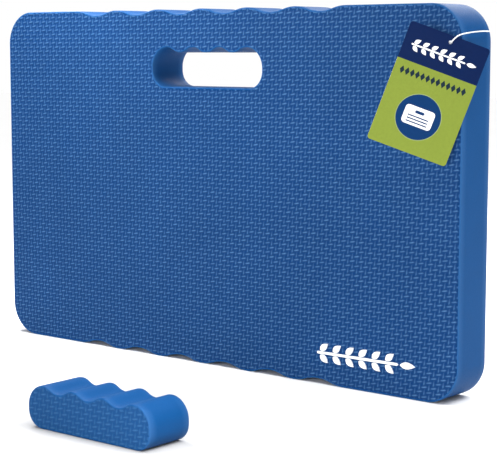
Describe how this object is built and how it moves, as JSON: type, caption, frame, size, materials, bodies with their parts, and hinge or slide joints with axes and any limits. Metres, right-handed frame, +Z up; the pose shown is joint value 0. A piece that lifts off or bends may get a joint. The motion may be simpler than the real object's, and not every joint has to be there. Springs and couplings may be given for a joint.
{
  "type": "kneeling pad",
  "caption": "Thick foam garden kneeling pad with a woven-look face, finger-grip edges, a carry slot, its cut-out plug and a hang tag on a string.",
  "frame": {"origin": "on the ground, midway along the bottom edge of the kneeling face, with the pad standing upright on its long edge", "axes": "+X runs along the pad's width to the corner that carries the hang tag, +Y goes from the kneeling face through the thickness to the back, +Z is up"},
  "size_m": [0.4721, 0.2621, 0.2794],
  "materials": {
    "foam": "matt closed-cell foam, embossed like a basket weave on both faces and smooth where it is cut",
    "tag_board": "printed board, dark blue head above a green field",
    "string": "white twisted cotton"
  },
  "bodies": {
    "pad": {"foam_pad": "foam", "tag_string": "string", "stop_knot": "string", "anchor_knot": "string"},
    "tag": {"tag_card": "tag_board"},
    "plug": {"handle_plug": "foam"}
  },
  "joints": [
    {"name": "tag_swing", "type": "hinge", "parent": "pad", "child": "tag", "pos_m": [0.22198, -0.00506, 0.2525], "axis": [0.5878, -0.809, 0], "range_deg": [-85, 22]},
    {"name": "plug_travel", "type": "slide", "parent": "pad", "child": "plug", "axis": [-0.3113, 0.6124, 0.7267], "range_m": [0, 0.3019]}
  ]
}
